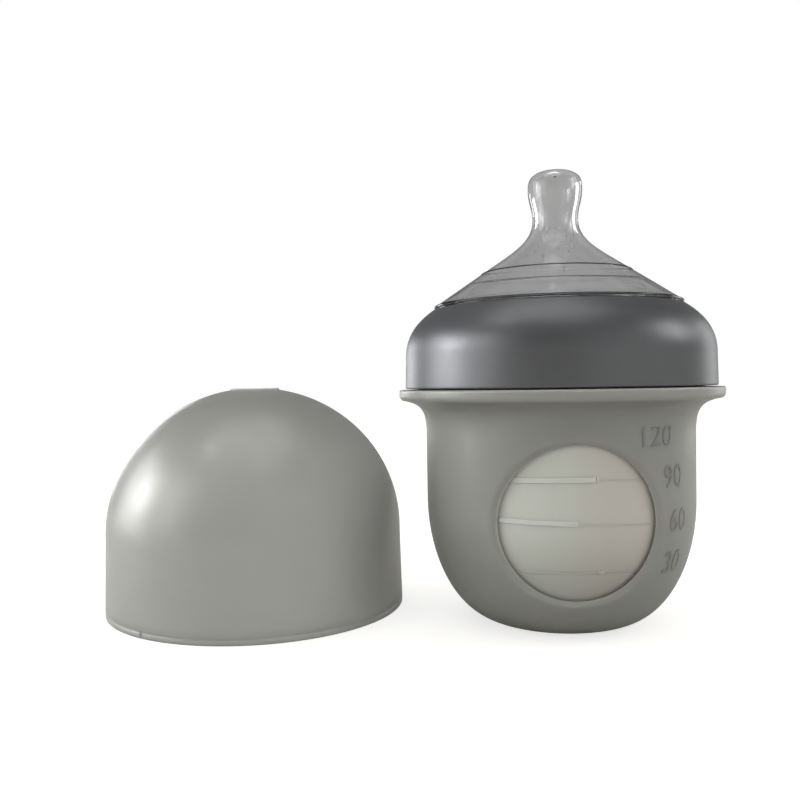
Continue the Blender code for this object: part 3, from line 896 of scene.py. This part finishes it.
def floor_paint():
    """Pale paint that is seen lighter than it is, so that the light it throws back stays soft."""
    material = bpy.data.materials.new("floor_paint")
    material.use_nodes = True
    tree = material.node_tree
    shader = tree.nodes["Principled BSDF"]
    shader.inputs["Base Color"].default_value = (*FLOOR_COLOUR, 1)
    shader.inputs["Roughness"].default_value = 0.9
    shader.inputs["Specular IOR Level"].default_value = 0.1
    lift = tree.nodes.new("ShaderNodeEmission")
    lift.label = "floor_lift"
    lift.inputs["Strength"].default_value = FLOOR_LIFT
    seen = tree.nodes.new("ShaderNodeLightPath").outputs["Is Camera Ray"]
    both = tree.nodes.new("ShaderNodeAddShader")
    mix = tree.nodes.new("ShaderNodeMixShader")
    tree.links.new(shader.outputs["BSDF"], both.inputs[0])
    tree.links.new(lift.outputs["Emission"], both.inputs[1])
    tree.links.new(seen, mix.inputs["Fac"])
    tree.links.new(shader.outputs["BSDF"], mix.inputs[1])
    tree.links.new(both.outputs["Shader"], mix.inputs[2])
    tree.links.new(mix.outputs["Shader"], tree.nodes["Material Output"].inputs["Surface"])
    return material


def studio_world():
    """White behind the floor, room light that fades upwards, and a darker room in gloss and silicone."""
    world = bpy.data.worlds.new("studio")
    world.use_nodes = True
    tree = world.node_tree
    room = tree.nodes["Background"]
    room.label = "ambient"
    room.inputs["Color"].default_value = (*ROOM_COLOUR, 1)
    direction = tree.nodes.new("ShaderNodeTexCoord").outputs["Generated"]
    fade = along(tree, direction, "Z", From_Min=0.1, To_Min=ROOM_LIGHT, To_Max=CEILING_LIGHT)
    tree.links.new(fade.outputs["Result"], room.inputs["Strength"])
    path = tree.nodes.new("ShaderNodeLightPath")
    seen = room
    for label, ray, colour in (
        ("gloss", "Is Glossy Ray", REFLECTED_COLOUR),
        ("through", "Is Transmission Ray", THROUGH_COLOUR),
        ("backdrop", "Is Camera Ray", (1, 1, 1)),
    ):
        other = tree.nodes.new("ShaderNodeBackground")
        other.label = label
        other.inputs["Color"].default_value = (*colour, 1)
        mix = tree.nodes.new("ShaderNodeMixShader")
        tree.links.new(path.outputs[ray], mix.inputs["Fac"])
        tree.links.new(seen.outputs[0], mix.inputs[1])
        tree.links.new(other.outputs["Background"], mix.inputs[2])
        seen = mix
    tree.links.new(seen.outputs["Shader"], tree.nodes["World Output"].inputs["Surface"])
    return world


def make_stage():
    shape = bmesh.new()
    bmesh.ops.create_grid(shape, x_segments=1, y_segments=1, size=FLOOR_HALF_SIZE)
    floor = new_object("floor", mesh_of(shape, "floor"))
    floor.data.materials.append(floor_paint())
    bpy.context.scene.world = studio_world()
    area_light("window", 90, 15, (0.18, 0.22), 0.76, DAYLIGHT)
    area_light("window_surround", 95, 13, (0.5, 0.5), 2.3, DAYLIGHT)
    area_light("window_back", 146, 4, (0.25, 0.26), 0.75, DAYLIGHT)
    area_light("left_wall", 60, 18, (0.3, 0.5), 0.6, LAMPLIGHT)
    area_light("ceiling_spot_left", 66, 60, (0.07, 0.07), 0.15, LAMPLIGHT)
    area_light("ceiling_spot_right", 338, 60, (0.07, 0.07), 0.07, LAMPLIGHT)
    area_light("right_back", 236, 8, (0.3, 0.4), 0.6, LAMPLIGHT)
    area_light("right_wall", 272, 26, (0.3, 0.3), 0.78, LAMPLIGHT)
    area_light("right_front", 318, 14, (1.0, 0.6), 0.4, LAMPLIGHT)
    area_light("ceiling", 60, 88, (0.6, 0.6), 0.95, LAMPLIGHT)


def make_camera():
    camera_data = bpy.data.cameras.new("camera")
    camera_data.lens = CAMERA_LENS
    camera_data.sensor_width = 36
    camera = bpy.data.objects.new("camera", camera_data)
    forward = Vector((
        -math.sin(CAMERA_HEADING) * math.cos(CAMERA_PITCH),
        math.cos(CAMERA_HEADING) * math.cos(CAMERA_PITCH),
        math.sin(CAMERA_PITCH),
    ))
    aim = forward.to_track_quat("-Z", "Y").to_matrix().to_4x4()
    camera.matrix_world = Matrix.Translation(CAMERA_PLACE) @ aim @ Matrix.Rotation(-CAMERA_ROLL, 4, "Z")
    bpy.context.scene.collection.objects.link(camera)
    bpy.context.scene.camera = camera
    bpy.context.scene.view_settings.view_transform = "Standard"


def main():
    make_shell()
    for value, height, direction in NUMERALS:
        make_numeral(value, height, direction)
    for piece in (make_pouch(), make_pouch_marks()):
        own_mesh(piece)
    make_nipple()
    make_collar()
    make_cap()
    make_stage()
    make_camera()


main()
